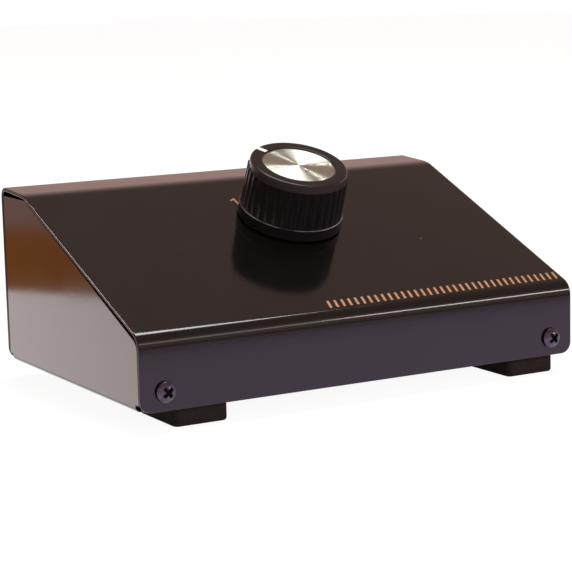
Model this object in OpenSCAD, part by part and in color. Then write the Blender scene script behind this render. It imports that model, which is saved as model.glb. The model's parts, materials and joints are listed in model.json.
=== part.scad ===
// Audio source selector: a folded sheet-steel case with a sloped top, one fluted knob on a
// three-position rotary switch, and four pairs of phono sockets on the rear panel.
// Millimetres, +Z up, front towards -Y, origin under the middle of the object's box.

/* [Case] */
// Width of the top cover, side to side
case_w = 150; // [140:1:190]
// Depth from the front lip to the rear panel
case_d = 98.5; // [94:0.5:120]
// Height at which the flat strip would meet the rear panel
case_h = 55.6; // [53:0.1:60]
// Height at which the front lip would meet the slope
lip_h = 21.8; // [20:0.1:26]
// Depth of the flat strip, from where it would meet the slope to the rear panel
flat_d = 18.5; // [15:0.5:21]
// How much lower the flat strip lies at its front edge than at its rear edge
strip_drop = 1.2; // [0.4:0.1:1.4]
// Thickness of the sheet steel
sheet_t = 1.2; // [0.8:0.1:1.5]
// Outer radius of the bend between lip and slope
front_bend_r = 5; // [2:0.5:6]
// Outer radius of the wide bend between slope and flat strip
top_bend_r = 16; // [10:1:28]
// Outer radius of the bend between flat strip and rear panel
rear_bend_r = 3; // [2:0.5:4]
// Radius of the rounded lower corners of the lip and the rear panel
corner_r = 3.5; // [1.5:0.5:4]

/* [Chassis] */
// How far each side panel stands in from the cover's edge
side_inset = 0.2; // [0.2:0.1:1.2]
// Gap between sheets that lie against each other
panel_gap = 0.2; // [0.1:0.1:0.5]
// Gap between the side panels and the underside of the flat strip at its rear edge
side_top_gap = 1.7; // [1:0.1:4]
// How much more the side panels fall short of the slope at its lower end than at its upper end
side_drop = 0.9; // [0:0.1:1.5]
// Outer radius of the chassis bends
chassis_bend_r = 1.6; // [1.6:0.2:3]
// Height of the front and rear flanges that take the cover screws
flange_h = 10.5; // [8.5:0.5:12]
// How far the open notch in each lower corner of the chassis goes past the bends
corner_relief = 0.5; // [0.3:0.1:2]

/* [Cover screws] */
// Distance of the screws from the cover's sides
screw_in = 8; // [7:0.2:12]
// Height of the screws above the cover's lower edge
screw_z = 5.7; // [4.5:0.1:6]
// Diameter of the screw thread
screw_d = 2.9; // [2.2:0.1:3.2]
// Length of the screw under its head
screw_l = 8; // [6:0.5:12]
// Diameter of the pan head
screw_head_d = 6.2; // [5:0.2:7]
// Height of the pan head
screw_head_h = 2.2; // [1.6:0.1:2.6]
// Radius of the domed top of the pan head
screw_dome_r = 4.2; // [3.6:0.1:6]
// Length of the cross recess
recess_l = 3.6; // [2.6:0.1:4]
// Width of the cross recess
recess_w = 1.1; // [0.5:0.1:1.4]
// Depth of the cross recess
recess_deep = 1.3; // [0.6:0.1:1.5]

/* [Feet] */
// Width of the rubber feet
foot_w = 17.5; // [14:0.5:22]
// Depth of the rubber feet, front to rear
foot_l = 24; // [14:0.5:24]
// Height of the feet
foot_h = 6; // [3:0.5:10]
// Radius of the feet's upright corners
foot_corner_r = 1.5; // [0.5:0.5:6]
// Distance of the front left foot from the cover's side
foot_left_in = 12; // [3:0.5:20]
// Distance of the front right foot from the cover's side
foot_right_in = 4.5; // [3:0.5:20]
// Distance of the rear feet from the cover's sides
foot_rear_in = 18; // [3:0.5:24]
// Distance of the feet from the front lip and the rear panel
foot_end_in = 3.2; // [3.2:0.2:10]

/* [Knob] */
// Place of the knob's axis right of the case's middle
knob_x = 4; // [-4:0.2:8]
// Place of the knob's axis up the slope, from where the lip would meet it
knob_up = 57.2; // [51:0.2:59]
// Pointer's turn to the left of straight up the slope at position 1
pointer_a = 33; // [28:1:36]
// Height of the knob
knob_h = 18.6; // [17.6:0.1:22]
// Gap between the knob and the panel
knob_gap = 0.6; // [0.4:0.1:1.2]
// Diameter of the plain skirt
skirt_d = 33.3; // [33:0.1:36]
// Height of the plain skirt
skirt_h = 3.6; // [2:0.1:5]
// Diameter over the ribs just above the skirt
rib_low_d = 32.5; // [32.3:0.1:33]
// Diameter over the ribs at their upper end
rib_top_d = 32; // [31.6:0.1:32.2]
// Number of ribs round the knob
rib_n = 36; // [24:2:40]
// Depth of the flutes between the ribs
flute_deep = 0.5; // [0.3:0.05:0.6]
// Radius of the flutes
flute_r = 1.4; // [1.2:0.05:1.8]
// Height of the plain band above the ribs
band_h = 2.6; // [1.6:0.1:4]
// Diameter of the flat rim on top
rim_d = 30.9; // [30:0.1:30.9]
// Radius of the rounded edge of the rim
rim_edge_r = 0.6; // [0.3:0.1:0.9]
// Thickness of the knob's wall
knob_wall = 2.2; // [1.6:0.1:2.6]
// Thickness of the knob's top
knob_top_t = 2.7; // [2.4:0.1:3.4]
// Diameter of the hub on the shaft
hub_d = 12; // [10:0.5:14]
// Width of the black ring round the spun metal insert
ring_w = 3.9; // [3:0.05:6]
// Thickness of the insert
insert_t = 0.7; // [0.5:0.1:0.9]
// How far the insert lies below the rim
insert_sink = 0.5; // [0.2:0.05:0.7]
// Width of the pointer line
pointer_w = 1.7; // [0.8:0.1:2]
// Depth of the pointer line's groove
pointer_t = 0.4; // [0.3:0.1:0.6]

/* [Switch] */
// Number of positions in use
positions = 3; // [2:1:3]
// Angle between positions
step_a = 30; // [30:1:30]
// Diameter of the shaft
shaft_d = 6; // [5.6:0.1:6.2]
// Height of the shaft's end above the panel
shaft_top = 16.2; // [14:0.1:16.6]
// Depth cut off the shaft to make its flat
flat_cut = 1.5; // [1:0.1:2]
// Diameter of the threaded bushing
bushing_d = 9.5; // [9:0.1:10]
// Height of the bushing above the panel
bushing_top = 6.3; // [5:0.1:6.8]
// Width of the nut across its flats
nut_af = 14; // [12:0.5:15]
// Thickness of the nut
nut_t = 2.4; // [1.8:0.1:3]
// Thickness of the lock washer
washer_t = 0.6; // [0.4:0.1:0.8]
// Number of teeth inside the lock washer
washer_teeth = 10; // [8:1:14]
// Thickness of the stop ring
stop_ring_t = 0.7; // [0.5:0.1:1]
// Diameter of the switch's housing
housing_d = 26; // [25.4:0.2:28]
// Diameter of the housing's cavity
cavity_d = 22.6; // [22.2:0.1:22.8]
// Thickness of the housing's front wall
housing_wall = 2.5; // [2:0.1:3]
// Thickness of the rotor
rotor_t = 5.8; // [5:0.1:7]
// Diameter of the detent balls
ball_d = 3; // [2.6:0.1:3.2]
// Thickness of the terminal base
base_t = 3; // [2:0.1:4]
// Length of the solder tags behind the base
terminal_l = 6; // [4:0.5:8]
// Radius of the ring of position terminals
terminal_ring_r = 9.4; // [9:0.1:9.6]
// Radius of the ring of common terminals
common_ring_r = 5.3; // [5:0.1:5.8]

/* [Sockets] */
// Distance between the two sockets of a pair
socket_pitch = 14; // [13:0.5:14.5]
// Outer diameter of a socket's barrel
barrel_d = 8.3; // [8:0.1:8.6]
// Length of a barrel behind the rear panel
barrel_l = 9; // [8:0.1:12]
// Thickness of the barrel's metal
barrel_t = 0.45; // [0.3:0.05:0.6]
// Diameter of the centre contact's bore
contact_bore_d = 3.2; // [3:0.05:3.3]
// Thickness of the laminate plates
plate_t = 1.6; // [1:0.1:2]
// Width of the laminate plates
plate_w = 16; // [14:0.5:20]
// Distance between the two rivets of a plate
rivet_pitch = 29; // [28.5:0.5:30]
// Diameter of the rivets
rivet_d = 2.4; // [2:0.1:2.8]

/* [Wiring] */
// Diameter of the signal wires
wire_d = 1.2; // [0.8:0.1:1.6]
// Diameter of the bare ground wire
bus_d = 0.8; // [0.6:0.1:1]

/* [Fits] */
// Radial clearance of the turning shaft
run_clear = 0.05; // [0.02:0.01:0.08]
// Clearance of pieces that are pushed or screwed together
fit_clear = 0.05; // [0.02:0.01:0.1]
// Clearance between the turning rotor and the fixed housing
rotor_clear = 0.3; // [0.2:0.05:0.4]

/* [Hidden] */
$fn = 64;

// Case
slope_run = case_d - flat_d;
strip_front = case_h - strip_drop;
slope_a = atan((strip_front - lip_h) / slope_run);
screw_reach = screw_head_h - screw_dome_r + sqrt(pow(screw_dome_r, 2) - pow(recess_w, 2) / 2);
front_y = (screw_reach - case_d - barrel_l) / 2;
cover_path = [[0, 0], [0, lip_h], [slope_run, strip_front], [case_d, case_h], [case_d, 0]];
cover_bends = [front_bend_r, top_bend_r, rear_bend_r];
cut_past = 1;
bend_lift = 0.002;
join_lap = 0.2;
through = 4 * sheet_t;

// Chassis
side_x = case_w / 2 - side_inset;
side_path = [[0, 0], [0, lip_h - side_drop], [slope_run, strip_front], [case_d, case_h], [case_d, 0]];
chassis_front = sheet_t + panel_gap;
chassis_rear = case_d - sheet_t - panel_gap;
side_top = case_h - sheet_t - side_top_gap;
notch = chassis_bend_r + corner_relief;
flange_w = 2 * (side_x - notch);

// Screws and feet
foot_sides = 32;
screw_x = case_w / 2 - screw_in;
screw_hole_clear = 0.25;
screw_hole_r = screw_d / 2 + screw_hole_clear;
screw_tip = 1.5;
screw_point_d = 0.4;
front_recess_a = 40;
rear_recess_a = 35;

// Knob, in heights above the panel
knob_top = knob_gap + knob_h;
skirt_top = knob_gap + skirt_h;
rib_top = knob_top - band_h;
hollow_top = knob_top - knob_top_t;
root_low_r = rib_low_d / 2 - flute_deep;
root_top_r = rib_top_d / 2 - flute_deep;
flute_tilt = atan((root_low_r - root_top_r) / (rib_top - skirt_top));
flute_lift = 0.1;
hollow_r = rim_d / 2 - knob_wall;
hub_gap = 0.8;
hub_low = bushing_top + hub_gap;
insert_d = rim_d - 2 * ring_w;
insert_low = knob_top - insert_sink - insert_t;
shaft_end_gap = 0.3;
bore_top = shaft_top + shaft_end_gap;
flat_x = shaft_d / 2 - flat_cut;
spring_t = 0.4;
spring_w = 3.6;
pointer_gap = 0.3;
pointer_in = insert_d / 2 + pointer_gap;
dial_a = 90 + pointer_a;

// Switch, in heights above the panel
stations = 360 / step_a;
poles = 4;
pole_a = 360 / poles;
washer_past = 0.5;
washer_slot = 1;
front_face = -sheet_t - stop_ring_t;
wall_in = front_face - housing_wall;
bushing_flange_t = 1.2;
bushing_flange_r = 7.4;
flange_low = wall_in - bushing_flange_t;
rotor_top = flange_low - rotor_clear / 2;
rotor_low = rotor_top - rotor_t;
blade_t = 0.4;
blade_low = rotor_low - blade_t;
contact_gap = 0.1;
head_top = blade_low - contact_gap;
head_t = 0.5;
base_in = head_top - head_t;
spigot_h = 1;
housing_low = base_in - spigot_h;
base_low = housing_low - base_t;
tag_tip = base_low - terminal_l;
cavity_r = cavity_d / 2;
rotor_r = cavity_r - 2 * rotor_clear;
ball_r = ball_d / 2;
ball_ring_r = cavity_r - ball_r - rotor_clear / 3;
ball_z = (rotor_top + rotor_low) / 2;
ball_dial_a = 45;
coils = 4;
coil_steps = 10;
coil_gap = 0.25;
coil_wire_r = 0.2;
coil_sides = 6;
notch_clear = 0.1;
notch_out = 0.8;
notch_r = ball_r + notch_clear;
notch_ring_r = ball_ring_r + notch_out;
pocket_r = ball_r + fit_clear;
pocket_low_r = 4.3;
drive_cut = 0.7;
shaft_flats = shaft_d - 2 * drive_cut;
pivot_r = 1.5;
pivot_deep = 0.8;
pivot_end_gap = 0.2;
pivot_l = spigot_h + pivot_deep;
head_r = 0.9;
pin_r = 0.6;
pin_past = 0.3;
tag_w = 1.6;
tag_t = 0.6;
first_terminal_a = 120;
common_half_a = 38;
peg_r = 1.3;
peg_ring_r = cavity_r;
peg_a = -90;
peg_clear = 0.2;
peg_hole_r = peg_r + peg_clear;
stop_ring_gap = 0.4;
stop_ring_r = peg_ring_r - peg_r - stop_ring_gap;
tongue_w = 2;
tongue_t = 0.7;
tongue_in = 0.1;
tongue_clear = 0.1;
tongue_ring_r = stop_ring_r - tongue_t / 2;
lug_reach = 0.9;
lug_r = tongue_ring_r - lug_reach;
lug_h = bushing_flange_t - rotor_clear;
lug_half_a = 6;
stop_gap_a = 2;
tongue_half_a = asin(tongue_w / 2 / tongue_ring_r);
lug_a = 200;
fixed_stop_a = lug_a + 2 * lug_half_a + stop_gap_a;
tongue_a = lug_a - (positions - 1) * step_a - lug_half_a - tongue_half_a - stop_gap_a;

// Sockets, in distances behind the rear panel
pair_names = ["input_1", "input_2", "input_3", "output"];
pair_pitch = case_w / (len(pair_names) + 1);
plate_margin = 3;
plate_gap = 0.6;
plate_h = rivet_pitch + 2 * plate_margin;
plate_z = flange_h + plate_gap + plate_h / 2;
shank_r = 3.2;
rim_r = 4;
barrel_flange_r = 4.9;
panel_hole_clear = 0.3;
panel_hole_r = barrel_flange_r + panel_hole_clear;
plate_out = -sheet_t;
plate_in = plate_out - plate_t;
strip_t = 0.4;
strip_w = 8;
strip_in = plate_in - strip_t;
barrel_in = strip_in - barrel_t;
insulator_past = 0.8;
insulator_sunk = 0.5;
insulator_in = barrel_in - insulator_past;
insulator_out = barrel_l - insulator_sunk;
contact_wall = 0.4;
contact_sunk = 0.9;
contact_r = contact_bore_d / 2 + contact_wall;
contact_out = barrel_l - contact_sunk;
bore_end = 0.6;
solder_l = 6.5;
solder_w = 2.4;
solder_t = 0.6;
solder_in = insulator_in - solder_l;
ground_tag_w = 3;
ground_tag_l = 6;
bus_back = 4.4;
bus_past = 2;
bus_in = plate_in - bus_back;
rivet_head_r = rivet_d;
rivet_head_h = 0.9;
rivet_dome_r = 1.5 * rivet_head_r;
rivet_clench_d = 1.6 * rivet_d;
rivet_clench_h = 0.6;

// Wires, each a smooth curve from a socket's tag to a terminal's tag
wire_rings = 16;
wire_sides = 8;
wire_lap = 0.35;
first_normal = [0.9, 0.1, 0.4];
// Straight lead at the socket and at the switch, for the left and the right wire of each pair
wire_leads = [
    [[6, 10], [8, 16]],
    [[6, 11], [8, 16]],
    [[6, 3], [14, 15]],
    [[16, 14], [16, 10]]
];

function unit(v) = v / norm(v);
function right_of(d) = [d[1], -d[0]];
function heading(p, i) = unit(p[i + 1] - p[i]);
function turn_at(p, i) = acos(heading(p, i - 1) * heading(p, i));
function setback(p, r, i) = i == 0 || i == len(p) - 1 ? 0 : r[i - 1] * tan(turn_at(p, i) / 2);
function tangent(p, i) = unit(p[min(i + 1, len(p) - 1)] - p[max(i - 1, 0)]);
function carried(n, t) = unit(n - (n * t) * t);
function normals(p, i = 0, n = first_normal) =
    i == len(p) ? [] : let (c = carried(n, tangent(p, i))) concat([c], normals(p, i + 1, c));
function bezier(a, b, c, d, t) =
    pow(1 - t, 3) * a + 3 * pow(1 - t, 2) * t * b + 3 * (1 - t) * t * t * c + t * t * t * d;
function pair_x(i) = (i - (len(pair_names) - 1) / 2) * pair_pitch;
function socket_z(upper) = plate_z + (upper ? 1 : -1) * socket_pitch / 2;
function along_slope(x, u, h) = [
    knob_x + x,
    (knob_up + u) * cos(slope_a) - h * sin(slope_a),
    lip_h + (knob_up + u) * sin(slope_a) + h * cos(slope_a)
];

// Places: the case stands on its feet, with the lip's lower corner as its own origin
module in_case() translate([0, front_y, foot_h]) children();
module on_slope() in_case() translate(along_slope(0, 0, 0)) rotate([slope_a, 0, 0]) children();
module on_dial() on_slope() rotate([0, 0, dial_a]) children();
module on_front(x, z) in_case() translate([x, 0, z]) rotate([90, 0, 0]) children();
module on_rear(x, z) in_case() translate([x, case_d, z]) rotate([-90, 0, 0]) children();

// Block inside a path of outer corners with rounded bends, drawn in by inset and past its open ends.
// Each bend stands out by a hair, so that it crosses the flats on both sides of it.
module blank(path, bends, width, inset, past) {
    last = len(path) - 1;
    starts = [for (i = [1 : last - 1]) path[i] - heading(path, i - 1) * setback(path, bends, i)];
    ends = [for (i = [1 : last - 1]) path[i] + heading(path, i) * setback(path, bends, i)];
    linear_extrude(width + 2 * past, center = true) polygon([
        path[0] + right_of(heading(path, 0)) * inset - heading(path, 0) * past,
        for (i = [1 : last - 1])
            each [
                starts[i - 1] + right_of(heading(path, i - 1)) * inset,
                ends[i - 1] + right_of(heading(path, i)) * inset
            ],
        path[last] + right_of(heading(path, last - 1)) * inset + heading(path, last - 1) * past
    ]);
    for (i = [1 : last - 1]) {
        centre = starts[i - 1] + right_of(heading(path, i - 1)) * bends[i - 1];
        linear_extrude(width + 2 * past, center = true) intersection() {
            translate(centre) circle(bends[i - 1] - inset + bend_lift);
            polygon([
                centre,
                2 * starts[i - 1] - centre - heading(path, i - 1) * cut_past,
                2 * ends[i - 1] - centre + heading(path, i) * cut_past
            ]);
        }
    }
}

// Sheet folded along a path of outer corners, with its inside on the right of the path
module folded(path, bends, width) difference() {
    blank(path, bends, width, 0, 0);
    blank(path, bends, width, sheet_t, cut_past);
}

// Stands a side view of depth and height upright across the case
module across() rotate([90, 0, 90]) children();

module sector(r_in, r_out, low, high, mid_a, half_a)
    rotate([0, 0, mid_a - half_a]) rotate_extrude(angle = 2 * half_a)
        translate([r_in, low]) square([r_out - r_in, high - low]);

// Tube of round section along a list of points
module tube(path, r, sides) {
    n = normals(path);
    last = len(path) - 1;
    points = [
        for (i = [0 : last], j = [0 : sides - 1])
            let (b = cross(tangent(path, i), n[i]), a = 360 * j / sides)
            path[i] + r * (cos(a) * n[i] + sin(a) * b)
    ];
    faces = [
        [for (j = [0 : sides - 1]) j],
        [for (j = [0 : sides - 1]) last * sides + sides - 1 - j],
        for (i = [0 : last - 1], j = [0 : sides - 1])
            let (k = (j + 1) % sides)
            each [
                [i * sides + j, (i + 1) * sides + j, (i + 1) * sides + k],
                [i * sides + j, (i + 1) * sides + k, i * sides + k]
            ]
    ];
    polyhedron(points, faces);
}

module corner_cut() rotate([90, 0, 0]) linear_extrude(2 * sheet_t + 2 * cut_past, center = true)
    difference() {
        translate([-cut_past, -cut_past]) square(corner_r + cut_past);
        translate([corner_r, corner_r]) circle(corner_r);
    }

module top_cover() color("#3a2a26") difference() {
    in_case() across() folded(cover_path, cover_bends, case_w);
    in_case() for (side = [-1, 1], y = [0, case_d]) translate([0, y, 0])
        mirror([side > 0 ? 1 : 0, 0, 0]) translate([-case_w / 2, 0, 0]) corner_cut();
    for (side = [-1, 1]) {
        on_front(side * screw_x, screw_z) cylinder(r = screw_hole_r, h = through, center = true);
        on_rear(side * screw_x, screw_z) cylinder(r = screw_hole_r, h = through, center = true);
    }
    for (i = [0 : len(pair_names) - 1], side = [-1, 1]) {
        on_rear(pair_x(i), plate_z + side * socket_pitch / 2)
            cylinder(r = panel_hole_r, h = through, center = true);
        on_rear(pair_x(i), plate_z + side * rivet_pitch / 2)
            cylinder(r = rivet_d / 2 + fit_clear, h = through, center = true);
    }
    on_slope() {
        cylinder(r = bushing_d / 2 + fit_clear, h = through, center = true);
        rotate([0, 0, peg_a]) translate([peg_ring_r, 0, 0])
            cylinder(r = peg_hole_r, h = through, center = true);
    }
}

// All the space inside the cover, up to the side panels' top edges
module inside_cover() intersection() {
    across() blank(side_path, cover_bends, case_w, sheet_t + panel_gap, 0);
    translate([-case_w / 2, 0, 0]) cube([case_w, case_d, side_top]);
}

module chassis() color("#3a2a26") in_case() difference() {
    sides_path = [[side_x, case_h], [side_x, 0], [-side_x, 0], [-side_x, case_h]];
    ends_path = [
        [chassis_rear, flange_h],
        [chassis_rear, 0],
        [chassis_front, 0],
        [chassis_front, flange_h]
    ];
    union() {
        difference() {
            intersection() {
                translate([0, case_d / 2, 0]) rotate([90, 0, 0])
                    folded(sides_path, [chassis_bend_r, chassis_bend_r], case_d);
                inside_cover();
            }
            for (y = [chassis_front, chassis_rear]) translate([0, y, 0])
                cube([case_w, 2 * notch, 2 * notch], center = true);
        }
        across() folded(ends_path, [chassis_bend_r, chassis_bend_r], flange_w);
    }
    for (side = [-1, 1], y = [chassis_front, chassis_rear]) translate([side * screw_x, y, screw_z])
        rotate([90, 0, 0]) cylinder(r = screw_d / 2 + fit_clear, h = through, center = true);
}

module pan_screw() {
    difference() {
        rotate_extrude() intersection() {
            square([screw_head_d / 2, screw_head_h]);
            translate([0, screw_head_h - screw_dome_r]) circle(screw_dome_r);
        }
        for (a = [0, 90]) rotate([0, 0, a])
            translate([-recess_l / 2, -recess_w / 2, screw_head_h - recess_deep])
                cube([recess_l, recess_w, recess_deep + cut_past]);
    }
    translate([0, 0, screw_tip - screw_l]) cylinder(d = screw_d, h = screw_l - screw_tip);
    translate([0, 0, -screw_l]) cylinder(d1 = screw_point_d, d2 = screw_d, h = screw_tip);
}

module cover_screws() color("#1c1a1a") for (side = [-1, 1]) {
    on_front(side * screw_x, screw_z) rotate([0, 0, front_recess_a]) pan_screw();
    on_rear(side * screw_x, screw_z) rotate([0, 0, rear_recess_a]) pan_screw();
}

module foot(left, front) color("#2c2626") in_case() {
    side_in = front ? (left ? foot_left_in : foot_right_in) : foot_rear_in;
    x = left ? -case_w / 2 + side_in : case_w / 2 - side_in - foot_w;
    y = front ? foot_end_in : case_d - foot_end_in - foot_l;
    translate([x + foot_corner_r, y + foot_corner_r, -foot_h]) hull()
        for (i = [0, foot_w - 2 * foot_corner_r], j = [0, foot_l - 2 * foot_corner_r])
            translate([i, j, 0]) cylinder(r = foot_corner_r, h = foot_h, $fn = foot_sides);
}

module foot_front_left() foot(true, true);
module foot_front_right() foot(false, true);
module foot_rear_left() foot(true, false);
module foot_rear_right() foot(false, false);

// The shaft's round section with its flat cut away on the pointer's side
module d_section(r, flat) intersection() {
    circle(r);
    translate([-2 * r, -2 * r]) square([2 * r + flat, 4 * r]);
}

// The knob's outer shape, before anything is cut out of it
module knob_blank() rotate_extrude() union() {
    polygon([
        [0, knob_gap],
        [skirt_d / 2, knob_gap],
        [skirt_d / 2, skirt_top],
        [rib_low_d / 2, skirt_top],
        [rib_top_d / 2, rib_top],
        [rim_d / 2, rib_top],
        [rim_d / 2, knob_top - rim_edge_r],
        [rim_d / 2 - rim_edge_r, knob_top - rim_edge_r],
        [rim_d / 2 - rim_edge_r, knob_top],
        [0, knob_top]
    ]);
    translate([rim_d / 2 - rim_edge_r, knob_top - rim_edge_r]) intersection() {
        circle(rim_edge_r);
        square(rim_edge_r);
    }
}

// Groove across the rim, open at its outer edge
module pointer_groove() translate([pointer_in, -pointer_w / 2, knob_top - pointer_t])
    cube([rim_d / 2 - pointer_in + cut_past, pointer_w, pointer_t + cut_past]);

module knob_body() color("#141414") on_dial() difference() {
    knob_blank();
    for (i = [0 : rib_n - 1]) rotate([0, 0, (i + 0.5) * 360 / rib_n])
        translate([root_low_r + flute_r, 0, skirt_top + flute_lift]) rotate([0, -flute_tilt, 0])
            cylinder(r = flute_r, h = rib_top - skirt_top + cut_past);
    difference() {
        translate([0, 0, knob_gap - cut_past]) cylinder(r = hollow_r, h = hollow_top - knob_gap + cut_past);
        translate([0, 0, hub_low]) cylinder(d = hub_d, h = hollow_top);
    }
    translate([0, 0, hub_low - cut_past]) linear_extrude(bore_top - hub_low + cut_past)
        d_section(shaft_d / 2 + fit_clear, flat_x + fit_clear);
    translate([flat_x, -spring_w / 2, hub_low - cut_past])
        cube([spring_t + 2 * fit_clear, spring_w, bore_top - hub_low + cut_past]);
    translate([0, 0, insert_low]) cylinder(r = insert_d / 2 + fit_clear, h = knob_h);
    pointer_groove();
}

module knob_pointer() color("#f2efe8") on_dial() intersection() {
    pointer_groove();
    knob_blank();
}

module knob_insert() color("#c9c4bc") on_dial() translate([0, 0, insert_low])
    cylinder(d = insert_d, h = insert_t);

module knob_spring() color("#9a9a96") on_dial()
    translate([flat_x + fit_clear, fit_clear - spring_w / 2, hub_low])
        cube([spring_t, spring_w - 2 * fit_clear, bore_top - hub_low]);

module switch_nut() color("#b9b6ae") on_slope() translate([0, 0, washer_t]) difference() {
    intersection() {
        cylinder(d = nut_af / cos(30), h = nut_t, $fn = 6);
        cylinder(d1 = nut_af / cos(30), d2 = nut_af, h = nut_t);
    }
    translate([0, 0, -cut_past]) cylinder(r = bushing_d / 2 + fit_clear, h = nut_t + 2 * cut_past);
}

module lock_washer() color("#c4c0b6") on_slope() difference() {
    cylinder(d = nut_af + 2 * washer_past, h = washer_t);
    translate([0, 0, -cut_past]) cylinder(r = bushing_d / 2 + fit_clear, h = washer_t + 2 * cut_past);
    for (i = [0 : washer_teeth - 1]) rotate([0, 0, i * 360 / washer_teeth])
        translate([bushing_d / 2, -washer_slot / 2, -cut_past])
            cube([washer_slot, washer_slot, washer_t + 2 * cut_past]);
}

module stop_ring() color("#c4c0b6") on_slope() {
    translate([0, 0, front_face]) difference() {
        cylinder(r = stop_ring_r, h = stop_ring_t);
        translate([0, 0, -cut_past]) cylinder(r = bushing_d / 2 + fit_clear, h = stop_ring_t + 2 * cut_past);
    }
    rotate([0, 0, tongue_a])
        translate([stop_ring_r - tongue_t - tongue_in, -tongue_w / 2, rotor_top + rotor_clear])
            cube([tongue_t, tongue_w, front_face + stop_ring_t - rotor_top - rotor_clear]);
}

module switch_bushing() color("#b59a5a") on_slope() difference() {
    union() {
        translate([0, 0, flange_low]) cylinder(d = bushing_d, h = bushing_top - flange_low);
        translate([0, 0, flange_low]) cylinder(r = bushing_flange_r, h = bushing_flange_t);
    }
    translate([0, 0, flange_low - cut_past])
        cylinder(r = shaft_d / 2 + run_clear, h = bushing_top - flange_low + 2 * cut_past);
}

module switch_housing() color("#202020") on_slope() {
    difference() {
        translate([0, 0, housing_low]) cylinder(d = housing_d, h = front_face - housing_low);
        translate([0, 0, housing_low - cut_past])
            cylinder(r = cavity_r, h = wall_in - housing_low + cut_past);
        cylinder(r = bushing_d / 2 + fit_clear, h = 2 * (cut_past - wall_in), center = true);
        for (i = [0 : stations - 1]) {
            rotate([0, 0, dial_a + ball_dial_a + i * step_a]) translate([notch_ring_r, 0, base_in])
                cylinder(r = notch_r, h = rotor_top - base_in);
            rotate([0, 0, tongue_a + i * step_a])
                translate([
                    stop_ring_r - tongue_t - tongue_in - tongue_clear,
                    -tongue_w / 2 - tongue_clear,
                    wall_in - cut_past
                ])
                    cube([
                        tongue_t + 2 * tongue_clear,
                        tongue_w + 2 * tongue_clear,
                        housing_wall + 2 * cut_past
                    ]);
        }
    }
    sector(
        lug_r, cavity_r + join_lap, rotor_top + rotor_clear, wall_in + join_lap,
        fixed_stop_a, lug_half_a
    );
    rotate([0, 0, peg_a]) translate([peg_ring_r, 0, front_face - join_lap])
        cylinder(r = peg_r, h = sheet_t + stop_ring_t);
}

module each_terminal() for (i = [0 : stations - 1]) rotate([0, 0, first_terminal_a + i * step_a])
    translate([terminal_ring_r, 0, 0]) children();

module each_common() for (i = [0 : poles - 1]) rotate([0, 0, first_terminal_a - step_a + i * pole_a])
    translate([common_ring_r, 0, 0]) children();

module switch_base() color("#5a3a22") on_slope() difference() {
    union() {
        translate([0, 0, base_low]) cylinder(d = housing_d, h = base_t);
        translate([0, 0, housing_low]) cylinder(r = cavity_r - fit_clear, h = spigot_h);
    }
    translate([0, 0, base_in - pivot_l]) cylinder(r = pivot_r + run_clear, h = pivot_l + cut_past);
    each_terminal() translate([0, 0, base_low - cut_past])
        cylinder(r = pin_r + fit_clear, h = base_t + spigot_h + 2 * cut_past);
    each_common() translate([0, 0, base_low - cut_past])
        cylinder(r = pin_r + fit_clear, h = base_t + spigot_h + 2 * cut_past);
}

module pin_and_tag() {
    translate([0, 0, base_low - pin_past])
        cylinder(r = pin_r, h = base_in - base_low + pin_past + join_lap);
    translate([-tag_t / 2, -tag_w / 2, tag_tip]) cube([tag_t, tag_w, terminal_l]);
}

module position_terminals() color("#cfc9b8") on_slope() each_terminal() {
    translate([0, 0, base_in]) cylinder(r = head_r, h = head_t);
    pin_and_tag();
}

module common_terminals() color("#cfc9b8") on_slope() {
    each_common() pin_and_tag();
    for (i = [0 : poles - 1])
        sector(
            common_ring_r - head_r, common_ring_r + head_r, base_in, head_top,
            first_terminal_a - step_a + i * pole_a, common_half_a
        );
}

module switch_shaft() color("#bcbab4") on_dial() {
    translate([0, 0, hub_low]) linear_extrude(shaft_top - hub_low) d_section(shaft_d / 2, flat_x);
    translate([0, 0, rotor_top]) cylinder(d = shaft_d, h = hub_low - rotor_top);
    translate([0, 0, blade_low]) intersection() {
        cylinder(d = shaft_d, h = rotor_top - blade_low);
        translate([-shaft_flats / 2, -shaft_d, 0]) cube([shaft_flats, 2 * shaft_d, rotor_top - blade_low]);
    }
    translate([0, 0, base_in - pivot_l + pivot_end_gap])
        cylinder(r = pivot_r, h = blade_low - base_in + pivot_l);
}

module switch_rotor() color("#d8d2c4") on_dial() difference() {
    union() {
        translate([0, 0, rotor_low]) cylinder(r = rotor_r, h = rotor_t);
        sector(
            lug_r, rotor_r - rotor_clear, rotor_top - join_lap, rotor_top + lug_h,
            lug_a - dial_a, lug_half_a
        );
    }
    translate([0, 0, rotor_low - cut_past]) intersection() {
        cylinder(r = shaft_d / 2 + fit_clear, h = rotor_t + 2 * cut_past);
        translate([-shaft_flats / 2 - fit_clear, -shaft_d, 0])
            cube([shaft_flats + 2 * fit_clear, 2 * shaft_d, rotor_t + 2 * cut_past]);
    }
    for (a = [0, 180]) rotate([0, 0, ball_dial_a + a]) translate([pocket_low_r, 0, ball_z])
        rotate([0, 90, 0]) cylinder(r = pocket_r, h = rotor_r);
}

module rotor_contacts() color("#b98a4e") on_dial() for (i = [0 : poles - 1])
    rotate([0, 0, first_terminal_a - dial_a + i * pole_a])
        translate([common_ring_r - head_r, -head_r, blade_low])
            cube([terminal_ring_r - common_ring_r + 2 * head_r, 2 * head_r, blade_t]);

module detent_balls() color("#d0d0d0") on_dial() for (a = [0, 180])
    rotate([0, 0, ball_dial_a + a]) translate([ball_ring_r, 0, ball_z]) sphere(r = ball_r);

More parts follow.
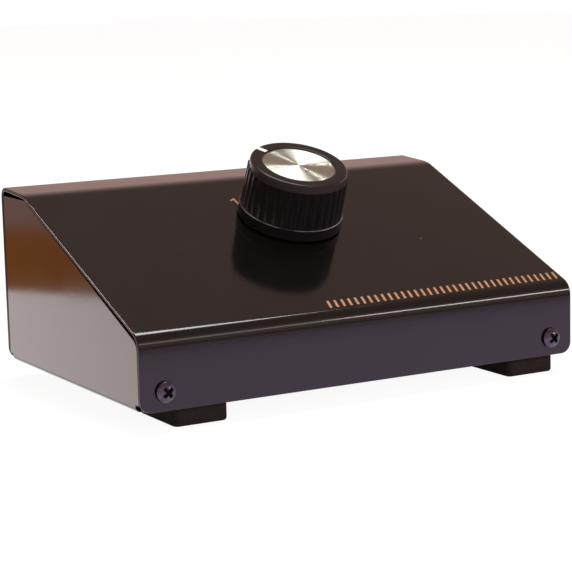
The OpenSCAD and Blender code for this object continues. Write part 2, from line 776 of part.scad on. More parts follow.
module detent_springs() color("#a8a8a8") on_dial() for (a = [0, 180])
    rotate([0, 0, ball_dial_a + a]) translate([0, 0, ball_z]) {
        coil_r = pocket_r - coil_gap - coil_wire_r;
        low = pocket_low_r + coil_wire_r + fit_clear;
        high = ball_ring_r - ball_r * cos(asin(coil_r / ball_r)) - coil_wire_r - 2 * fit_clear;
        steps = coils * coil_steps;
        tube(
            [for (k = [0 : steps])
                let (a = 360 * k / coil_steps)
                [low + (high - low) * k / steps, coil_r * cos(a), coil_r * sin(a)]],
            coil_wire_r, coil_sides
        );
    }

module pair_plate(i) color("#6b4a2c") on_rear(pair_x(i), plate_z) difference() {
    translate([-plate_w / 2, -plate_h / 2, plate_in]) cube([plate_w, plate_h, plate_t]);
    for (side = [-1, 1]) {
        translate([0, side * socket_pitch / 2, plate_in - cut_past])
            cylinder(r = shank_r + fit_clear, h = plate_t + 2 * cut_past);
        translate([0, side * rivet_pitch / 2, plate_in - cut_past])
            cylinder(r = rivet_d / 2 + fit_clear, h = plate_t + 2 * cut_past);
    }
}

module input_1_plate() pair_plate(0);
module input_2_plate() pair_plate(1);
module input_3_plate() pair_plate(2);
module output_plate() pair_plate(3);

module barrel() rotate_extrude() polygon([
    [shank_r - barrel_t, barrel_in],
    [rim_r, barrel_in],
    [rim_r, strip_in],
    [shank_r, strip_in],
    [shank_r, plate_out],
    [barrel_flange_r, plate_out],
    [barrel_flange_r, plate_out + barrel_t],
    [barrel_d / 2, plate_out + barrel_t],
    [barrel_d / 2, barrel_l],
    [barrel_d / 2 - barrel_t, barrel_l],
    [barrel_d / 2 - barrel_t, plate_out + barrel_t],
    [shank_r - barrel_t, plate_out + barrel_t]
]);

module pair_barrels(i) color("#cfcac0") for (upper = [true, false])
    on_rear(pair_x(i), socket_z(upper)) barrel();

module input_1_barrels() pair_barrels(0);
module input_2_barrels() pair_barrels(1);
module input_3_barrels() pair_barrels(2);
module output_barrels() pair_barrels(3);

module insulator() rotate_extrude() polygon([
    [contact_r + fit_clear, insulator_in],
    [shank_r - barrel_t - fit_clear, insulator_in],
    [shank_r - barrel_t - fit_clear, plate_out + barrel_t],
    [barrel_d / 2 - barrel_t - fit_clear, plate_out + barrel_t],
    [barrel_d / 2 - barrel_t - fit_clear, insulator_out],
    [contact_r + fit_clear, insulator_out]
]);

module left_insulators() color("#e6e2da") for (i = [0 : len(pair_names) - 1])
    on_rear(pair_x(i), socket_z(true)) insulator();

module right_insulators() color("#a8241f") for (i = [0 : len(pair_names) - 1])
    on_rear(pair_x(i), socket_z(false)) insulator();

module pair_contacts(i) color("#d2c9a8") for (upper = [true, false]) on_rear(pair_x(i), socket_z(upper)) {
    difference() {
        translate([0, 0, insulator_in]) cylinder(r = contact_r, h = contact_out - insulator_in);
        translate([0, 0, bore_end]) cylinder(d = contact_bore_d, h = barrel_l);
    }
    translate([-solder_w / 2, -solder_t / 2, solder_in]) cube([solder_w, solder_t, solder_l]);
}

module input_1_contacts() pair_contacts(0);
module input_2_contacts() pair_contacts(1);
module input_3_contacts() pair_contacts(2);
module output_contacts() pair_contacts(3);

module pair_ground_strip(i) color("#c7c2b4") on_rear(pair_x(i), plate_z) difference() {
    union() {
        translate([0, 0, strip_in]) linear_extrude(strip_t) {
            square([strip_w, socket_pitch], center = true);
            for (side = [-1, 1]) translate([0, side * socket_pitch / 2]) circle(d = strip_w);
        }
        translate([-strip_t / 2, -ground_tag_w / 2, strip_in - ground_tag_l])
            cube([strip_t, ground_tag_w, ground_tag_l + strip_t / 2]);
    }
    for (side = [-1, 1]) translate([0, side * socket_pitch / 2, strip_in - cut_past])
        cylinder(r = shank_r + fit_clear, h = strip_t + 2 * cut_past);
    translate([0, 0, bus_in]) rotate([0, 90, 0])
        cylinder(r = bus_d / 2 + fit_clear, h = 2 * ground_tag_w, center = true);
}

module input_1_ground_strip() pair_ground_strip(0);
module input_2_ground_strip() pair_ground_strip(1);
module input_3_ground_strip() pair_ground_strip(2);
module output_ground_strip() pair_ground_strip(3);

module plate_rivets() color("#b8b6b0") for (i = [0 : len(pair_names) - 1], side = [-1, 1])
    on_rear(pair_x(i), plate_z + side * rivet_pitch / 2) {
        rotate_extrude() intersection() {
            square([rivet_head_r, rivet_head_h]);
            translate([0, rivet_head_h - rivet_dome_r]) circle(rivet_dome_r);
        }
        translate([0, 0, plate_in]) cylinder(d = rivet_d, h = -plate_in);
        translate([0, 0, plate_in - rivet_clench_h]) cylinder(d = rivet_clench_d, h = rivet_clench_h);
    }

module ground_wire() color("#c9c4b8") in_case() {
    half = pair_x(len(pair_names) - 1) + bus_past;
    translate([-half, case_d + bus_in, plate_z]) rotate([0, 90, 0]) cylinder(d = bus_d, h = 2 * half);
}

function terminal_point(r, a, h) = along_slope(r * cos(a), r * sin(a), h);

function wire_path(i, upper) =
    let (
        wired_a = upper ? first_terminal_a : first_terminal_a + pole_a,
        is_output = i == len(pair_names) - 1,
        end_a = is_output ? wired_a - step_a : wired_a - i * step_a,
        end_r = is_output ? common_ring_r : terminal_ring_r,
        leads = wire_leads[i][upper ? 0 : 1],
        from = [pair_x(i), case_d + solder_in - wire_lap, socket_z(upper)],
        to = terminal_point(end_r, end_a, tag_tip - wire_lap),
        out_of_socket = from - [0, leads[0], 0],
        into_switch = terminal_point(end_r, end_a, tag_tip - wire_lap - leads[1])
    )
    [for (k = [0 : wire_rings - 1])
        bezier(from, out_of_socket, into_switch, to, k / (wire_rings - 1))];

module left_wire(i) color("#d8d4cc") in_case() tube(wire_path(i, true), wire_d / 2, wire_sides);
module right_wire(i) color("#a8241f") in_case() tube(wire_path(i, false), wire_d / 2, wire_sides);

module input_1_left_wire() left_wire(0);
module input_2_left_wire() left_wire(1);
module input_3_left_wire() left_wire(2);
module output_left_wire() left_wire(3);
module input_1_right_wire() right_wire(0);
module input_2_right_wire() right_wire(1);
module input_3_right_wire() right_wire(2);
module output_right_wire() right_wire(3);

top_cover();
chassis();
cover_screws();
foot_front_left();
foot_front_right();
foot_rear_left();
foot_rear_right();
knob_body();
knob_insert();
knob_pointer();
knob_spring();
switch_nut();
lock_washer();
stop_ring();
switch_bushing();
switch_housing();
switch_base();
switch_shaft();
switch_rotor();
rotor_contacts();
detent_balls();
detent_springs();
position_terminals();
common_terminals();
input_1_plate();
input_2_plate();
input_3_plate();
output_plate();
input_1_barrels();
input_2_barrels();
input_3_barrels();
output_barrels();
input_1_contacts();
input_2_contacts();
input_3_contacts();
output_contacts();
input_1_ground_strip();
input_2_ground_strip();
input_3_ground_strip();
output_ground_strip();
left_insulators();
right_insulators();
plate_rivets();
ground_wire();
input_1_left_wire();
input_2_left_wire();
input_3_left_wire();
output_left_wire();
input_1_right_wire();
input_2_right_wire();
input_3_right_wire();
output_right_wire();
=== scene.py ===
# %% [markdown]
# # An audio source selector, dressed in Blender
# The object is a small hi-fi box: a folded steel case with a sloped top, one fluted knob on a rotary
# switch, and four pairs of phono sockets behind. The solid model is loaded as a fixed frame, in metres,
# and every piece made here sits on it. Cells follow one order: camera, studio, finishes, pieces.

# %% Load the solid model
import json
from math import atan2, cos, degrees, radians, sin

import bmesh
import bpy
from mathutils import Matrix, Vector


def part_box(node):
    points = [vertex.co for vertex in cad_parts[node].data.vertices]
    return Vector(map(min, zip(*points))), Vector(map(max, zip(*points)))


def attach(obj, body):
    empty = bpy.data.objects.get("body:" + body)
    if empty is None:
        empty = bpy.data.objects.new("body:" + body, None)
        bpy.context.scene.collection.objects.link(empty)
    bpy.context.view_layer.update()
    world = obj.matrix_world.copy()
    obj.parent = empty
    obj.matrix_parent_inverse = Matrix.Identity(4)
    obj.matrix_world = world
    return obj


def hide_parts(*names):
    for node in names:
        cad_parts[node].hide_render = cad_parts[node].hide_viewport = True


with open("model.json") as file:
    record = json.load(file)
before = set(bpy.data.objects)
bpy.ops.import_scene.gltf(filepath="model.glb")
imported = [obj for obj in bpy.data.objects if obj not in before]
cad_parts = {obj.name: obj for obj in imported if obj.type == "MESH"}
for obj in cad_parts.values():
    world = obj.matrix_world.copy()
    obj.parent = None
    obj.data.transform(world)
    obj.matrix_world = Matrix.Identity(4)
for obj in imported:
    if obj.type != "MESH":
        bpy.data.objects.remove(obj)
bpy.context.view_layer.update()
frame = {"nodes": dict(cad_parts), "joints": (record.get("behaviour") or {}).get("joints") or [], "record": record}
nodes = frame["nodes"]
scene = bpy.context.scene
scene.view_settings.view_transform = "Standard"
MM = 0.001
knob_turn = frame["joints"][0]
slope_axis = Vector(knob_turn["axis"])
panel_point = Vector(knob_turn["pos_m"])
slope_a = atan2(-slope_axis.y, slope_axis.z)
on_slope = Matrix.Translation(panel_point) @ Matrix.Rotation(slope_a, 4, "X")
to_panel = on_slope.inverted()

# %% [markdown]
# ## Camera
# A photograph of a box gives its camera away: the lines that meet at the corners fix the direction, and
# how fast they converge fixes the distance. The camera here stands 29 degrees to the left of the front and
# 9 degrees up, 0.58 m from the lip, with a long lens. It could be aimed with a constraint, but three
# written directions leave nothing to a helper that doesn't know the picture's shape.

# %% Place the camera
# Width of the picture in pixels, and of the sensor in mm
PICTURE, SENSOR = 572, 36
# Where the camera stands, seen from the middle of the lip's lower edge, in degrees and mm
azimuth, elevation, roll = radians(-29.373), radians(9.362), radians(-1.395)
focal_px, distance, side_shift, up_shift = 1966.7, 583.93, -24.68, 28.47
lip_low = Vector((0, -52.686, 6))
back = Vector((sin(azimuth) * cos(elevation), -cos(azimuth) * cos(elevation), sin(elevation)))
level = Vector((cos(azimuth), sin(azimuth), 0))
rise = back.cross(level)
right = cos(roll) * level + sin(roll) * rise
up = cos(roll) * rise - sin(roll) * level
eye = (lip_low + right * side_shift + up * up_shift + back * distance) * MM

lens = bpy.data.cameras.new("camera")
lens.sensor_width = SENSOR
lens.lens = SENSOR * focal_px / PICTURE
camera = bpy.data.objects.new("camera", lens)
camera.matrix_world = Matrix((right, up, back)).transposed().to_4x4()
camera.location = eye
scene.collection.objects.link(camera)
scene.camera = camera
print("camera at", [round(c, 3) for c in eye], "lens", round(lens.lens, 1), "mm")

# %% [markdown]
# ## Two helpers for materials
# Colours are given as sRGB hex values, and the shader works in linear light, so one function turns the first
# into the second. The other adds a node, sets it and links it in one call, which keeps a material readable as
# a list of what it does.

# %% Helpers for colours and nodes
def linear(hex_colour):
    parts = [int(hex_colour[i:i + 2], 16) / 255 for i in (1, 3, 5)]
    return tuple(c / 12.92 if c <= 0.04045 else ((c + 0.055) / 1.055) ** 2.4 for c in parts) + (1.0,)


def add(tree, kind, settings=None, inputs=None):
    made = tree.nodes.new(kind)
    for key, value in (settings or {}).items():
        setattr(made, key, value)
    for key, value in (inputs or {}).items():
        if isinstance(value, bpy.types.NodeSocket):
            tree.links.new(value, made.inputs[key])
        else:
            made.inputs[key].default_value = value
    return made


def new_material(name):
    made = bpy.data.materials.new(name)
    made.use_nodes = True
    made.node_tree.nodes.clear()
    return made, made.node_tree


# Scale of a pattern whose detail has this size in mm
def per(size_mm):
    return 1000 / size_mm


print("dark brown is", [round(c, 4) for c in linear("#2e2320")[:3]], "in linear light")

# %% [markdown]
# ## Studio
# The box was shot on a white sweep. A pale floor and a round wall do that here. Light Path lets the camera,
# mirrors and glass see them near white, while the rest of their light is real, so the floor keeps the soft
# shadow. The wall alone is then hidden from reflections, so that they reach the room behind it, because
# gloss paint shows the room it stands in: tan near the horizon and a dimmer brown above.

# %% Floor and wall
# Sizes of the stage in metres, and the sides of its circle
STAGE_R, WALL_TOP, STAGE_SIDES = 4.0, 1.7, 96
WHITE, PALE = (1, 1, 1, 1), (0.86, 0.86, 0.86, 1)


def mesh_object(name, shape, material):
    mesh = bpy.data.meshes.new(name)
    shape.to_mesh(mesh)
    shape.free()
    mesh.materials.append(material)
    made = bpy.data.objects.new(name, mesh)
    scene.collection.objects.link(made)
    return made


def stage_object(name, shape, material):
    made = mesh_object(name, shape, material)
    return made


def sweep_material(name, shown, strength):
    material, tree = new_material(name)
    path = add(tree, "ShaderNodeLightPath")
    seen = add(tree, "ShaderNodeMath", {"operation": "ADD"},
               {0: path.outputs["Is Camera Ray"], 1: path.outputs["Is Glossy Ray"]})
    seen = add(tree, "ShaderNodeMath", {"operation": "ADD", "use_clamp": True},
               {0: seen.outputs[0], 1: path.outputs["Is Transmission Ray"]})
    share = add(tree, "ShaderNodeMath", {"operation": "MULTIPLY"}, {0: seen.outputs[0], 1: shown})
    glow = add(tree, "ShaderNodeEmission", None, {"Color": WHITE, "Strength": strength})
    matt = add(tree, "ShaderNodeBsdfDiffuse", None, {"Color": PALE})
    both = add(tree, "ShaderNodeMixShader", None,
               {0: share.outputs[0], 1: matt.outputs[0], 2: glow.outputs[0]})
    add(tree, "ShaderNodeOutputMaterial", None, {"Surface": both.outputs[0]})
    return material


shape = bmesh.new()
bmesh.ops.create_circle(shape, cap_ends=True, radius=STAGE_R, segments=STAGE_SIDES)
stage_object("floor", shape, sweep_material("pale_floor", shown=0.85, strength=1.1))

shape = bmesh.new()
bmesh.ops.create_circle(shape, cap_ends=False, radius=STAGE_R, segments=STAGE_SIDES)
lifted = bmesh.ops.extrude_edge_only(shape, edges=shape.edges[:])
tops = [v for v in lifted["geom"] if isinstance(v, bmesh.types.BMVert)]
bmesh.ops.translate(shape, verts=tops, vec=(0, 0, WALL_TOP))
wall = stage_object("wall", shape, sweep_material("pale_wall", shown=1.0, strength=1.0))
wall.visible_glossy = False
print("floor and wall of", STAGE_R, "m")

# %% Room
# The room dims between these heights of a direction one unit long
TAN_UP_TO, BROWN_FROM = 0.45, 0.66
world = bpy.data.worlds.new("warm_room")
scene.world = world
world.use_nodes = True
tree = world.node_tree
tree.nodes.clear()
facing = add(tree, "ShaderNodeTexCoord").outputs["Generated"]
height = add(tree, "ShaderNodeSeparateXYZ", None, {0: facing})
climb = add(tree, "ShaderNodeMapRange", None,
            {"Value": height.outputs["Z"], "From Min": TAN_UP_TO, "From Max": BROWN_FROM})
room = add(tree, "ShaderNodeMix", {"data_type": "RGBA"},
           {0: climb.outputs[0], 6: linear("#dcb8ae"), 7: linear("#9e8379")})
backdrop = add(tree, "ShaderNodeBackground", None, {"Color": room.outputs[2], "Strength": 1.0})
add(tree, "ShaderNodeOutputWorld", None, {"Surface": backdrop.outputs[0]})
print("room:", world.name)

# %% [markdown]
# ## Lamps and cards
# Gloss paint shows a lamp as a line along each bend. A large overhead panel gives the level and the upper
# line on the front bend, and two low lamps to the right give the lower line. A lamp behind the left side
# draws the pale line down the slope's edge. Those three are linked to the cover and its screws, so that
# they leave the knob dark, and two more are linked to the knob's insert, where each draws a thin streak. A
# soft fill from the front is hidden from reflections, so it only lifts the colours. Cards on the floor stand
# in for the table: white paper beside the box, orange wood behind it, lilac paper in front and brown beyond.
# Reflections alone see them. The lilac one is linked as the three lamps are, and in the reflections on all
# other pieces it is black.

# %% Lamps
def panel_lamp(name, place, target, size, watts, warmth="#ffffff"):
    lamp = bpy.data.lights.new(name, "AREA")
    lamp.shape = "RECTANGLE"
    lamp.size, lamp.size_y = size
    lamp.energy = watts
    lamp.color = linear(warmth)[:3]
    made = bpy.data.objects.new(name, lamp)
    made.location = place
    made.rotation_euler = (Vector(place) - Vector(target)).to_track_quat("Z", "Y").to_euler()
    scene.collection.objects.link(made)
    return made


panel_lamp("overhead_panel", (0.27, 0.20, 1.57), (0, 0, 0), (0.8, 0.8), 22)
edge_lamps = [
    panel_lamp("bend_lamp_right", (0.66, -0.826, 0.43), (0, -0.05, 0.02), (0.28, 0.08), 0.95),
    panel_lamp("bend_lamp_left", (0.45, -0.99, 0.43), (0, -0.05, 0.02), (0.23, 0.14), 0.2),
    panel_lamp("edge_lamp", (-0.868, 0.756, 0.513), (-0.07, 0, 0.03), (0.3, 0.12), 4.2, "#ffe4de"),
]
fill = panel_lamp("front_fill", (0.3, -1.2, 0.5), (0, -0.05, 0), (0.6, 0.4), 6)
fill.visible_glossy = False
streaks = bpy.data.collections.new("lit_by_streak_lamps")
streaks.objects.link(nodes["knob_insert"])
for name, place in (("streak_lamp_rear", (0.27, 0.58, 1.05)), ("streak_lamp_right", (0.70, 0.23, 0.98))):
    lamp = panel_lamp(name, place, panel_point, (0.03, 0.03), 0.7)
    lamp.light_linking.receiver_collection = streaks

# %% Cards
# The cards lie this far above the floor, in mm
CARD_Z = 0.5


def floor_card(name, corners, colour, strength):
    material, tree = new_material(name)
    glow = add(tree, "ShaderNodeEmission", None, {"Color": linear(colour), "Strength": strength})
    add(tree, "ShaderNodeOutputMaterial", None, {"Surface": glow.outputs[0]})
    shape = bmesh.new()
    shape.faces.new([shape.verts.new(Vector((x, y, CARD_Z)) * MM) for x, y in corners])
    made = stage_object(name, shape, material)
    made.visible_camera = made.visible_diffuse = made.visible_shadow = False
    made.visible_transmission = False
    return made


floor_card("white_card", ((-82, -50), (-82, 291), (-280, -19), (-115, -50)), "#ffeeee", 2.35)
floor_card("orange_card", ((-82, 291), (-100, 548), (-450, 58), (-280, -19)), "#ff9b4e", 0.71)
floor_card("far_card", ((-100, 548), (-300, 1600), (-1600, 100), (-450, 58)), "#ffc8b8", 0.72)
lilac = floor_card("lilac_card", ((-400, -60), (-400, -159), (500, -159), (500, -60)), "#f7dcff", 1.2)
floor_card("brown_card", ((-2000, -159), (-2000, -2500), (2500, -2500), (2500, -159)), "#a58a7c", 1.0)

# %% [markdown]
# ## Stove enamel
# The case is steel sprayed with a gloss dark brown enamel and baked. Baked enamel is a hard, smooth film:
# an IOR near 1.5, low roughness, and a faint ripple of about a millimetre called orange peel. A few dust
# specks lie on it. The cut edges of the sheet are rough under a thin film, so they look dull.

# %% Enamel
# Sizes of the ripple, the smears and the clouds, in mm
PEEL, SMEAR, CLOUD = 1.4, 18, 45
# Sizes of the cells and specks of dust in mm, and the share of cells without a speck
DUST_CELL, SPECK_R, CLEAN_SHARE = 11, 0.231, 0.62
# The cover's half width and the height of the case's underside, in mm
HALF_W, UNDERSIDE = 75, 6
# How far from those a cut edge's dull film starts, and how far from them it is whole, in mm
SIDE_FILM, LOW_FILM = (0.04, 0.01), (0.4, 0.2)
# Most of a noise texture lies between these
NOISE_LOW, NOISE_HIGH = 0.3, 0.7
enamel, tree = new_material("gloss_brown_stove_enamel")
where = add(tree, "ShaderNodeTexCoord").outputs["Object"]
cloud = add(tree, "ShaderNodeTexNoise", None, {"Vector": where, "Scale": per(CLOUD), "Detail": 3.0})
brown = add(tree, "ShaderNodeMix", {"data_type": "RGBA"},
            {0: cloud.outputs[0], 6: linear("#080707"), 7: linear("#0c0a0a")})
# Dust: one speck in some cells of a loose grid
grid = add(tree, "ShaderNodeTexVoronoi", None, {"Vector": where, "Scale": per(DUST_CELL)})
speck = add(tree, "ShaderNodeMath", {"operation": "LESS_THAN"},
            {0: grid.outputs["Distance"], 1: SPECK_R / DUST_CELL})
pick = add(tree, "ShaderNodeSeparateColor", None, {0: grid.outputs["Color"]})
some = add(tree, "ShaderNodeMath", {"operation": "GREATER_THAN"}, {0: pick.outputs[0], 1: CLEAN_SHARE})
dust = add(tree, "ShaderNodeMath", {"operation": "MULTIPLY"}, {0: speck.outputs[0], 1: some.outputs[0]})
dusty = add(tree, "ShaderNodeMix", {"data_type": "RGBA"},
            {0: dust.outputs[0], 6: brown.outputs[2], 7: linear("#8d837c")})
# Cut edges: the outermost hundredths of a millimetre at the cover's sides, and the lowest rim
parts = add(tree, "ShaderNodeSeparateXYZ", None, {0: where})
aside = add(tree, "ShaderNodeMath", {"operation": "ABSOLUTE"}, {0: parts.outputs["X"]})
edge = add(tree, "ShaderNodeMapRange", None,
           {"Value": aside.outputs[0], "From Min": (HALF_W - SIDE_FILM[0]) * MM,
            "From Max": (HALF_W - SIDE_FILM[1]) * MM})
under = add(tree, "ShaderNodeMapRange", None,
            {"Value": parts.outputs["Z"], "From Min": (UNDERSIDE + LOW_FILM[0]) * MM,
             "From Max": (UNDERSIDE + LOW_FILM[1]) * MM})
cut = add(tree, "ShaderNodeMath", {"operation": "MAXIMUM"}, {0: edge.outputs[0], 1: under.outputs[0]})
film = add(tree, "ShaderNodeMix", {"data_type": "RGBA"},
           {0: cut.outputs[0], 6: dusty.outputs[2], 7: linear("#453633")})
smear = add(tree, "ShaderNodeTexNoise", None, {"Vector": where, "Scale": per(SMEAR), "Detail": 4.0})
gloss = add(tree, "ShaderNodeMapRange", None,
            {"Value": smear.outputs[0], "From Min": NOISE_LOW, "From Max": NOISE_HIGH,
             "To Min": 0.09, "To Max": 0.13})
rough = add(tree, "ShaderNodeMath", {"operation": "MULTIPLY_ADD"},
            {0: cut.outputs[0], 1: 0.4, 2: gloss.outputs[0]})
sheen = add(tree, "ShaderNodeMapRange", None, {"Value": cut.outputs[0], "To Min": 0.5, "To Max": 0.1})
peel = add(tree, "ShaderNodeTexNoise", None, {"Vector": where, "Scale": per(PEEL), "Detail": 1.0})
ripple = add(tree, "ShaderNodeBump", None,
             {"Height": peel.outputs[0], "Strength": 0.03, "Distance": 0.2 * MM})
paint = add(tree, "ShaderNodeBsdfPrincipled", None,
            {"Base Color": film.outputs[2], "Roughness": rough.outputs[0], "IOR": 1.52,
             "Specular IOR Level": sheen.outputs[0], "Normal": ripple.outputs[0]})
add(tree, "ShaderNodeOutputMaterial", None, {"Surface": paint.outputs[0]})
print("enamel nodes:", len(tree.nodes))

# %% [markdown]
# ## Sheet pieces
# A folded sheet has no sharp corner: each cut edge is broken by a fraction of a millimetre, and that
# thin curve is what catches the light. The solids have clean edges, so each sheet piece is a copy of its
# solid, merged, with a Bevel modifier on its sharp edges. Modelling it again would only copy the solid.
# Clamping is off, because one short edge would shrink every bevel on the piece. A piece with rims gets its
# bevel only on those circles, picked by a weight.

# %% Broken edges on copies of the solids
# Points this close are one, faces this flat are one, and an edge this near a circle is on it
MERGE, FLAT_DEG, NEAR = 0.002 * MM, 0.3, 0.02 * MM
body_of = {n: body for body, members in frame["record"]["behaviour"]["bodies"].items() for n in members}
slot_of = {s["node"]: s["material_slot"] for s in frame["record"]["subparts"]}


def finished_copy(node, name, material, edge_mm, sharp_deg=35, segments=2, rims=()):
    shape = bmesh.new()
    shape.from_mesh(nodes[node].data)
    bmesh.ops.remove_doubles(shape, verts=shape.verts, dist=MERGE)
    bmesh.ops.dissolve_limit(shape, angle_limit=radians(FLAT_DEG), verts=shape.verts, edges=shape.edges)
    for face in shape.faces:
        face.smooth = True
    weight = shape.edges.layers.float.new("bevel_weight_edge")
    for edge in shape.edges:
        spots = [to_panel @ v.co for v in edge.verts]
        for radius, height in rims:
            if all(abs(p.xy.length - radius * MM) < NEAR and abs(p.z - height * MM) < NEAR for p in spots):
                edge[weight] = 1.0
    made = mesh_object(name, shape, material)
    if rims:
        made.data.set_sharp_from_angle(angle=radians(sharp_deg))
    soft = made.modifiers.new("broken_edges", "BEVEL")
    soft.width, soft.segments = edge_mm * MM, segments
    soft.limit_method = "WEIGHT" if rims else "ANGLE"
    soft.use_clamp_overlap = False
    soft.angle_limit = radians(sharp_deg)
    even = made.modifiers.new("flat_faces_stay_flat", "WEIGHTED_NORMAL")
    even.weight, even.keep_sharp = 100, True
    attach(made, body_of[node])
    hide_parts(node)
    print(name, "faces:", len(made.data.polygons))
    return made


lit_edges = bpy.data.collections.new("lit_by_edge_lamps")
lit_edges.objects.link(finished_copy("top_cover", "cover_sheet", enamel, edge_mm=0.4))
for lamp in edge_lamps:
    lamp.light_linking.receiver_collection = lit_edges
lilac.light_linking.receiver_collection = lit_edges
finished_copy("chassis", "side_tray", enamel, edge_mm=0.2)

# %% [markdown]
# ## Knob
# The knob is moulded in black plastic with a fluted grip, and it is polished by fingers. A dark plastic
# shows almost only its reflections, so it gets a very dark colour and a low, slightly uneven roughness. Its
# IOR is under that of clean phenolic, to match how little the grip shines. The ring round the insert is part
# of the same moulding. The plain band above the flutes is a little greyer, and the top is darker as painted
# shade, because the overhead panel lights it most. The broken pale line on the ledge above the skirt is a painted
# highlight.

# %% Knob body
# Radii, and heights above the slope, in mm
SKIRT_R, BORE_R = 16.65, 11.6
LEDGE_H, BAND_H, TOP_H = 4.2, 16.6, 19.2
# Sizes of the handled patches, the breaks in the painted highlight on the ledge and the moulding's grain, in mm
PATCH, BREAK, GRAIN = 4, 9, 0.5
# How far the painted highlight on the ledge, the band's start and the top's painted shade reach, in mm
HIGHLIGHT_W, BAND_BLEND, TOP_BLEND = 0.2, 0.1, 0.6
moulded, tree = new_material("moulded_black_phenolic")
where = add(tree, "ShaderNodeTexCoord").outputs["Object"]
handled = add(tree, "ShaderNodeTexNoise", None, {"Vector": where, "Scale": per(PATCH), "Detail": 4.0})
tone = add(tree, "ShaderNodeMix", {"data_type": "RGBA"},
           {0: handled.outputs[0], 6: linear("#0e0d0f"), 7: linear("#171619")})
polish = add(tree, "ShaderNodeMapRange", None,
             {"Value": handled.outputs[0], "From Min": NOISE_LOW, "From Max": NOISE_HIGH,
              "To Min": 0.12, "To Max": 0.2})
# The same point as seen from the slope, with the knob's axis as Z
upright = add(tree, "ShaderNodeMapping", {"vector_type": "TEXTURE"},
              {"Vector": where, "Location": panel_point, "Rotation": (slope_a, 0, 0)})
height = add(tree, "ShaderNodeSeparateXYZ", None, {0: upright.outputs[0]})
# Greyer band, and a darker top as painted shade
above = add(tree, "ShaderNodeMapRange", None,
            {"Value": height.outputs["Z"], "From Min": (BAND_H - BAND_BLEND) * MM, "From Max": BAND_H * MM})
on_top = add(tree, "ShaderNodeMapRange", None,
             {"Value": height.outputs["Z"], "From Min": (TOP_H - TOP_BLEND) * MM, "From Max": TOP_H * MM})
band_and_shaded_top = add(tree, "ShaderNodeMix", {"data_type": "RGBA"},
           {0: on_top.outputs[0], 6: linear("#332c2e"), 7: linear("#171415")})
tone_with_band_and_top = add(tree, "ShaderNodeMix", {"data_type": "RGBA"},
                  {0: above.outputs[0], 6: tone.outputs[2], 7: band_and_shaded_top.outputs[2]})
# Painted highlight: a broken pale line on the ledge between skirt and grip
ledge = add(tree, "ShaderNodeMath", {"operation": "COMPARE"},
            {0: height.outputs["Z"], 1: LEDGE_H * MM, 2: HIGHLIGHT_W * MM})
outward = add(tree, "ShaderNodeVectorMath", {"operation": "MULTIPLY"}, {0: upright.outputs[0], 1: (1, 1, 0)})
reach = add(tree, "ShaderNodeVectorMath", {"operation": "LENGTH"}, {0: outward.outputs[0]})
rim = add(tree, "ShaderNodeMath", {"operation": "GREATER_THAN"},
          {0: reach.outputs["Value"], 1: (SKIRT_R - HIGHLIGHT_W) * MM})
line = add(tree, "ShaderNodeMath", {"operation": "MULTIPLY"}, {0: ledge.outputs[0], 1: rim.outputs[0]})
broken = add(tree, "ShaderNodeTexNoise", None, {"Vector": where, "Scale": per(BREAK), "Detail": 2.0})
highlight_breaks = add(tree, "ShaderNodeMapRange", None,
           {"Value": broken.outputs[0], "From Min": 0.46, "From Max": 0.62, "To Min": 0.05, "To Max": 1.0})
ledge_highlight = add(tree, "ShaderNodeMath", {"operation": "MULTIPLY"}, {0: line.outputs[0], 1: highlight_breaks.outputs[0]})
# The pale line is laid into the colour as a painted highlight
shade = add(tree, "ShaderNodeMix", {"data_type": "RGBA"},
            {0: ledge_highlight.outputs[0], 6: tone_with_band_and_top.outputs[2], 7: linear("#8d9096")})
grain = add(tree, "ShaderNodeTexNoise", None, {"Vector": where, "Scale": per(GRAIN), "Detail": 2.0})
fine = add(tree, "ShaderNodeBump", None,
           {"Height": grain.outputs[0], "Strength": 0.05, "Distance": 0.1 * MM})
plastic = add(tree, "ShaderNodeBsdfPrincipled", None,
              {"Base Color": shade.outputs[2], "Roughness": polish.outputs[0], "IOR": 1.36,
               "Normal": fine.outputs[0]})
add(tree, "ShaderNodeOutputMaterial", None, {"Surface": plastic.outputs[0]})
knob_rims = ((SKIRT_R, LEDGE_H), (BORE_R, TOP_H))
finished_copy("knob_body", "fluted_knob", moulded, edge_mm=0.25, segments=3, rims=knob_rims)

# %% [markdown]
# ## Spun insert
# The insert is an aluminium disc, turned against a fine tool, so its surface is thousands of circular
# grooves. They spread a highlight across the grooves and not along them, which draws the two bright fans.
# An anisotropic metal with a tangent that runs round the disc does the same. The drawn rings are coarser
# than the real ones, 0.3 mm apart, so that they show.

# %% Spun aluminium
# Rings this far apart in mm, and the distance at which the wave texture repeats at a scale of 1
RING_STEP, WAVE_REPEAT = 0.3, 0.314
spun, tree = new_material("spun_aluminium")
where = add(tree, "ShaderNodeTexCoord").outputs["Object"]
centred = add(tree, "ShaderNodeMapping", {"vector_type": "TEXTURE"},
              {"Vector": where, "Location": panel_point, "Rotation": (slope_a, 0, 0)})
flat = add(tree, "ShaderNodeVectorMath", {"operation": "MULTIPLY"}, {0: centred.outputs[0], 1: (1, 1, 0)})
rings = add(tree, "ShaderNodeTexWave", {"wave_type": "RINGS", "rings_direction": "SPHERICAL"},
            {"Vector": flat.outputs[0], "Scale": WAVE_REPEAT / (RING_STEP * MM),
             "Distortion": 0.6, "Detail": 2.0})
tone = add(tree, "ShaderNodeMix", {"data_type": "RGBA"},
           {0: rings.outputs["Fac"], 6: linear("#b6bfb2"), 7: linear("#d0d8cc")})
grooves = add(tree, "ShaderNodeBump", None,
              {"Height": rings.outputs["Fac"], "Strength": 0.06, "Distance": 0.1 * MM})
round_it = add(tree, "ShaderNodeTangent", {"direction_type": "RADIAL", "axis": "Z"})
